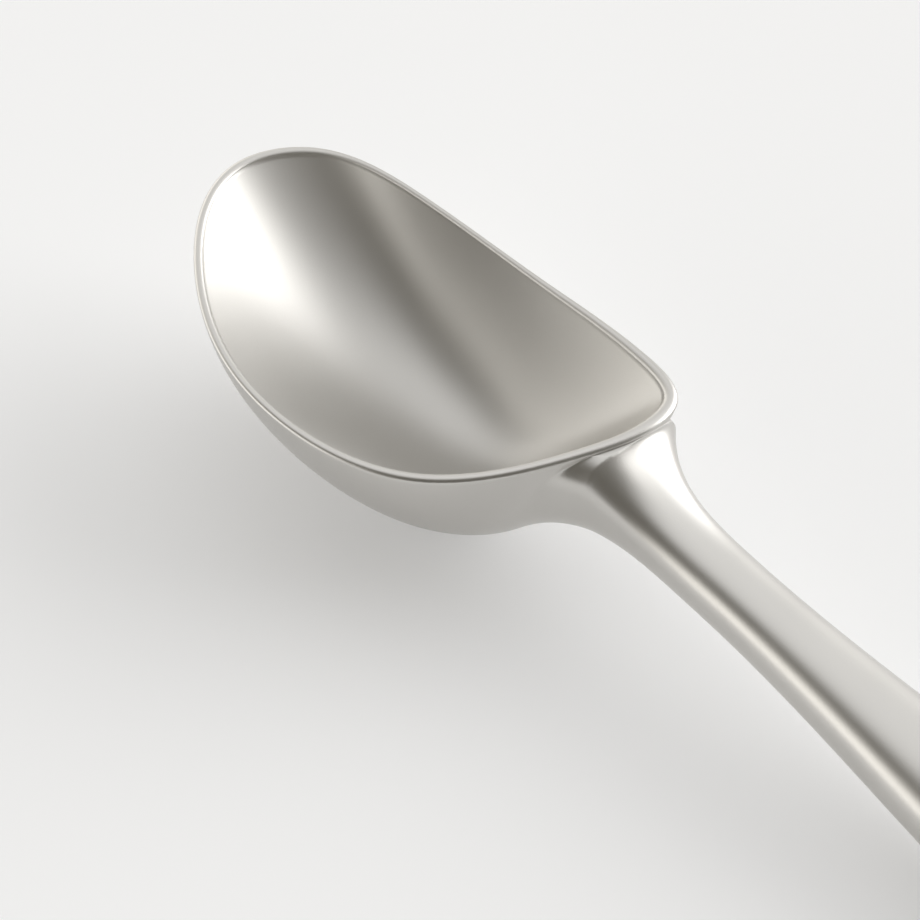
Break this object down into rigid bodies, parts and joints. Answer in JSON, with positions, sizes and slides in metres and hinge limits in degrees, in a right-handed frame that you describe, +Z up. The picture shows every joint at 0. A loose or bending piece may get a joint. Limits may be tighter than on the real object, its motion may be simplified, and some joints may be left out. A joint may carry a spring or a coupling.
{
  "type": "ice cream scoop",
  "caption": "Rigid satin steel ice cream scoop: a deep, handed bowl with a rounded lip on a hollow, gently swelling handle that rests level on a table.",
  "frame": {"origin": "middle of the flat foot under the bowl, in the table plane", "axes": "+Z up; +X along the handle from the bowl to the butt; +Y towards the straight side of the rim"},
  "size_m": [0.2076, 0.0474, 0.0295],
  "materials": {
    "bowl_steel": "fine satin, brushed lightly inside the bowl",
    "handle_steel": "fine satin",
    "inner_steel": "as turned or cast, unfinished",
    "spacer_plastic": "moulded",
    "gasket_rubber": "matt"
  },
  "bodies": {
    "root": {"bowl": "bowl_steel", "handle_upper_shell": "handle_steel", "handle_lower_shell": "handle_steel", "neck_core": "inner_steel", "tie_rod": "inner_steel", "rod_cross_pin": "inner_steel", "front_rod_spacer": "spacer_plastic", "rear_rod_spacer": "spacer_plastic", "cap_gasket": "gasket_rubber", "end_cap": "handle_steel"}
  },
  "joints": []
}
